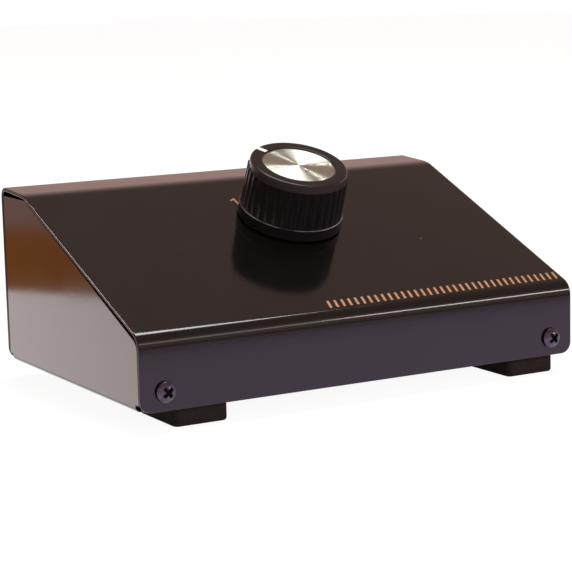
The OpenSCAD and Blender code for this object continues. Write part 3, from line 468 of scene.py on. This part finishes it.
metal = add(tree, "ShaderNodeBsdfPrincipled", None,
            {"Base Color": tone.outputs[2], "Metallic": 1.0, "Roughness": 0.29, "Anisotropic": 1.0,
             "Anisotropic Rotation": 0.25, "Normal": grooves.outputs[0], "Tangent": round_it.outputs[0]})
add(tree, "ShaderNodeOutputMaterial", None, {"Surface": metal.outputs[0]})


def dress(node, material):
    nodes[node].data.materials.clear()
    nodes[node].data.materials.append(material)


dress("knob_insert", spun)
print("insert tilted by", round(degrees(slope_a), 2), "degrees")

# %% [markdown]
# ## Black oxide
# The cover screws are blackened steel. The dome is a patchy grey, while the head below it is painted near
# black: oxide in the recess, and painted dark reflection on the side and foot. All four heads lie at the same
# place once a point's coordinates lose their signs, so one distance, from the centre of the dome's sphere,
# tells the dome from the rest.

# %% Black oxide
# Places in mm: the screws, the middle between front and rear ones, and the sphere of each dome
SCREW_X, SCREW_Z, SCREWS_MID_Y = 67, 11.7, -3.44
DOME_OUT, DOME_R = 47.25, 4.2
# The head is near black this deep under the dome and the dome's grey this near to it, in patches, all in mm
DARK_DEEP, DOME_DEEP = 0.35, 0.1
DOME_PATCH = 1.5
oxide, tree = new_material("black_oxide_steel")
where = add(tree, "ShaderNodeTexCoord").outputs["Object"]
middle = add(tree, "ShaderNodeVectorMath", {"operation": "SUBTRACT"},
             {0: where, 1: (0, SCREWS_MID_Y * MM, 0)})
corner = add(tree, "ShaderNodeVectorMath", {"operation": "ABSOLUTE"}, {0: middle.outputs[0]})
reach = add(tree, "ShaderNodeVectorMath", {"operation": "DISTANCE"},
            {0: corner.outputs[0], 1: (SCREW_X * MM, DOME_OUT * MM, SCREW_Z * MM)})
on_dome = add(tree, "ShaderNodeMapRange", None,
             {"Value": reach.outputs["Value"], "From Min": (DOME_R - DARK_DEEP) * MM,
              "From Max": (DOME_R - DOME_DEEP) * MM})
patch = add(tree, "ShaderNodeTexNoise", None, {"Vector": where, "Scale": per(DOME_PATCH), "Detail": 3.0})
tone = add(tree, "ShaderNodeMix", {"data_type": "RGBA"},
           {0: patch.outputs[0], 6: linear("#3c3842"), 7: linear("#666070")})
# Below the dome the head is near black: oxide in the recess, painted dark reflection on its side and foot
shade = add(tree, "ShaderNodeMix", {"data_type": "RGBA"},
            {0: on_dome.outputs[0], 6: linear("#0a090a"), 7: tone.outputs[2]})
polish = add(tree, "ShaderNodeMapRange", None, {"Value": on_dome.outputs[0], "To Min": 0.5, "To Max": 0.18})
steel = add(tree, "ShaderNodeBsdfPrincipled", None,
            {"Base Color": shade.outputs[2], "Roughness": polish.outputs[0], "Metallic": 0.8})
add(tree, "ShaderNodeOutputMaterial", None, {"Surface": steel.outputs[0]})
print("screw finish nodes:", len(tree.nodes))

# %% [markdown]
# ## Plain finishes
# The other finishes follow one pattern: a base colour that wanders a little, a roughness that wanders with
# it, and a bump at the size of the real texture. One function with those numbers makes them all, and the
# table says what each real material is and how coarse its surface is.

# %% Finishes of the small pieces
def plain_finish(name, dark, pale, patch_mm, rough, bump_mm, bump, metallic=0.0, ior=1.5):
    material, tree = new_material(name)
    where = add(tree, "ShaderNodeTexCoord").outputs["Object"]
    patch = add(tree, "ShaderNodeTexNoise", None, {"Vector": where, "Scale": per(patch_mm), "Detail": 3.0})
    tone = add(tree, "ShaderNodeMix", {"data_type": "RGBA"},
               {0: patch.outputs[0], 6: linear(dark), 7: linear(pale)})
    spread = add(tree, "ShaderNodeMapRange", None,
                 {"Value": patch.outputs[0], "From Min": NOISE_LOW, "From Max": NOISE_HIGH,
                  "To Min": rough[0], "To Max": rough[1]})
    texture = add(tree, "ShaderNodeTexNoise", None, {"Vector": where, "Scale": per(bump_mm), "Detail": 2.0})
    relief = add(tree, "ShaderNodeBump", None,
                 {"Height": texture.outputs[0], "Strength": bump, "Distance": bump_mm * MM})
    surface = add(tree, "ShaderNodeBsdfPrincipled", None,
                  {"Base Color": tone.outputs[2], "Roughness": spread.outputs[0], "Metallic": metallic,
                   "IOR": ior, "Normal": relief.outputs[0]})
    add(tree, "ShaderNodeOutputMaterial", None, {"Surface": surface.outputs[0]})
    return material


# Each row: name, dark and pale tone, patches in mm, roughness, bump in mm, its strength, metallic, IOR
FINISHES = {
    "foot_rubber": ("cellular_rubber", "#251f20", "#332b2c", 3, (0.8, 0.95), 0.6, 0.5, 0.0, 1.15),
    "pointer_white": ("white_line_paint", "#e6e2d8", "#f7f4ec", 1, (0.4, 0.55), 0.3, 0.1),
    "spring_steel": ("spring_steel", "#8a8a86", "#a6a6a2", 3, (0.25, 0.4), 0.3, 0.05, 1.0),
    "nickel": ("nickel_plate", "#bfb8a8", "#d6d0c2", 4, (0.16, 0.28), 0.4, 0.04, 1.0),
    "brass": ("turned_brass", "#a8873f", "#c9a75c", 3, (0.22, 0.36), 0.3, 0.05, 1.0),
    "switch_black": ("glass_filled_nylon", "#161616", "#212120", 3, (0.5, 0.65), 0.4, 0.2),
    "rotor_cream": ("moulded_acetal", "#d3ccb9", "#e2dccb", 4, (0.35, 0.5), 0.5, 0.06),
    "laminate": ("paper_laminate", "#5a3718", "#754c26", 1.5, (0.4, 0.6), 0.5, 0.12),
    "tinned": ("tinned_copper", "#b3afa3", "#cfcbc0", 2, (0.3, 0.5), 0.4, 0.15, 1.0),
    "insulator_white": ("moulded_white_plastic", "#dcd8ca", "#ece8dc", 3, (0.3, 0.42), 0.4, 0.06),
    "insulator_red": ("moulded_red_plastic", "#8f1713", "#a8201a", 3, (0.3, 0.42), 0.4, 0.06),
    "wire_white": ("white_pvc", "#d4cfc2", "#e4dfd3", 5, (0.4, 0.5), 0.6, 0.08),
    "wire_red": ("red_pvc", "#8a1512", "#9f1e19", 5, (0.4, 0.5), 0.6, 0.08),
}
finishes = {slot: plain_finish(*row) for slot, row in FINISHES.items()}
finishes["screw_black"] = oxide
for node, slot in slot_of.items():
    if slot in finishes:
        dress(node, finishes[slot])
print("finishes:", len(finishes))

# %% [markdown]
# ## Screws
# Pan-head screws with a cross recess hold the cover to the tray. The copies get broken edges that a lamp
# can find.

# %% Screws
screws = finished_copy("cover_screws", "pan_head_screws", oxide, edge_mm=0.1, sharp_deg=40)
lit_edges.objects.link(screws)

# %% [markdown]
# ## Feet
# Each foot is a pad cut from closed-cell rubber sheet and stuck on. It starts as a cube scaled to its
# solid's box. One bevel rounds the upright corners and a second breaks the upper and lower edges.

# %% Rubber feet
# Radii of the upright corners and of the rims in mm, and the angle from which an edge stays sharp
CORNER_R, RIM_R, PAD_SHARP_DEG = 2.0, 0.9, 40


def rubber_foot(node):
    low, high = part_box(node)
    middle, size = (low + high) / 2, high - low
    shape = bmesh.new()
    bmesh.ops.create_cube(shape, size=1)
    bmesh.ops.scale(shape, verts=shape.verts, vec=size)
    uprights = [e for e in shape.edges if abs(e.verts[0].co.z - e.verts[1].co.z) > size.z / 2]
    bmesh.ops.bevel(shape, geom=uprights, offset=CORNER_R * MM, affect="EDGES",
                    segments=6, profile=0.5, material=-1)
    rims = [e for e in shape.edges if abs(e.verts[0].co.z - e.verts[1].co.z) < size.z / 2]
    bmesh.ops.bevel(shape, geom=rims, offset=RIM_R * MM, affect="EDGES",
                    segments=3, profile=0.5, material=-1)
    bmesh.ops.recalc_face_normals(shape, faces=shape.faces)
    bmesh.ops.translate(shape, verts=shape.verts, vec=middle)
    for face in shape.faces:
        face.smooth = True
    made = mesh_object(node + "_pad", shape, finishes["foot_rubber"])
    made.data.set_sharp_from_angle(angle=radians(PAD_SHARP_DEG))
    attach(made, "case")
    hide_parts(node)
    print(node, "pad faces:", len(made.data.polygons))


for place in ("front_left", "front_right", "rear_left", "rear_right"):
    rubber_foot("foot_" + place)

# %% [markdown]
# ## Printing
# Copper-coloured ink is screen printed on the slope: the three position numbers round the knob, and a band
# near the lip. The 1 is drawn by its outline, because its flag shows beside the knob, and the other two are
# text made into a mesh. The band is a row of plain slanted bars. Ink is a film, so each piece is only
# 0.03 mm thick and lies on the paint.

# %% Copper ink
ink = plain_finish("copper_screen_ink", "#9a6a48", "#b58258", 1.2, (0.35, 0.5), 0.3, 0.1)
INK_T = 0.03 * MM
# How far the ink spreads past the outline of text, and which of its points are one, for text 1 unit tall
INK_SPREAD, TEXT_MERGE = 0.05, 0.0001


def print_on_slope(name, shape):
    bmesh.ops.recalc_face_normals(shape, faces=shape.faces)
    bmesh.ops.transform(shape, matrix=on_slope, verts=shape.verts)
    made = mesh_object(name, shape, ink)
    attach(made, "case")
    print(name, "faces:", len(made.data.polygons))


def raise_ink(name, shape, x_mm, u_mm):
    raised = bmesh.ops.extrude_face_region(shape, geom=shape.faces[:])
    tops = [v for v in raised["geom"] if isinstance(v, bmesh.types.BMVert)]
    bmesh.ops.translate(shape, verts=tops, vec=(0, 0, INK_T))
    bmesh.ops.translate(shape, verts=shape.verts, vec=(x_mm * MM, u_mm * MM, 0))
    print_on_slope(name, shape)


def number(text, x_mm, u_mm):
    curve = bpy.data.curves.new("number_" + text, "FONT")
    curve.body = text
    curve.offset = INK_SPREAD
    flat = bpy.data.objects.new("number_outline", curve)
    scene.collection.objects.link(flat)
    bpy.context.view_layer.update()
    outline = bpy.data.meshes.new_from_object(flat.evaluated_get(bpy.context.evaluated_depsgraph_get()))
    bpy.data.objects.remove(flat)
    shape = bmesh.new()
    shape.from_mesh(outline)
    bmesh.ops.remove_doubles(shape, verts=shape.verts, dist=TEXT_MERGE)
    low = Vector([min(v.co[i] for v in shape.verts) for i in range(3)])
    high = Vector([max(v.co[i] for v in shape.verts) for i in range(3)])
    scale = NUMBER_TALL * MM / (high.y - low.y)
    bmesh.ops.translate(shape, verts=shape.verts, vec=-(low + high) / 2)
    bmesh.ops.scale(shape, verts=shape.verts, vec=(scale, scale, 1))
    raise_ink("printed_" + text, shape, x_mm, u_mm)


# Height of the numbers, their places to the right of the knob's axis and up the slope, and the corners
# of the 1, from its stem to its flag, all in mm
NUMBER_TALL = 4.6
NUMBER_AT = {"1": (-12.25, 13.2), "2": (0, 20.6), "3": (12.6, 13.2)}
ONE = ((-0.35, -2.3), (0.35, -2.3), (0.35, 2.3), (-0.25, 2.3), (-1.75, 1.35), (-1.5, 0.75), (-0.35, 1.4))
shape = bmesh.new()
shape.faces.new([shape.verts.new((x * MM, u * MM, 0)) for x, u in ONE])
raise_ink("printed_1", shape, *NUMBER_AT["1"])
for text in ("2", "3"):
    number(text, *NUMBER_AT[text])

# %% Slanted bars near the lip
# Count, sizes and step of the bars, where the first one stands, and how far the row climbs, in mm
BAR_N, BAR_W, BAR_TALL, BAR_PITCH = 36, 0.85, 3.8, 2.374
FIRST_X, FIRST_U, ROW_CLIMB = -14.3, -52, 0.9
BAR_LEAN = 0.2
lean = Matrix(((1, BAR_LEAN, 0), (0, 1, 0), (0, 0, 1))).to_4x4()
shape = bmesh.new()
for k in range(BAR_N):
    bar = bmesh.ops.create_cube(shape, size=1)["verts"]
    bmesh.ops.scale(shape, verts=bar, vec=(BAR_W * MM, BAR_TALL * MM, INK_T))
    bmesh.ops.transform(shape, matrix=lean, verts=bar)
    x, u = FIRST_X + BAR_PITCH * k, FIRST_U + ROW_CLIMB * k / (BAR_N - 1)
    bmesh.ops.translate(shape, verts=bar, vec=(x * MM, u * MM, INK_T / 2))
print_on_slope("printed_bars", shape)
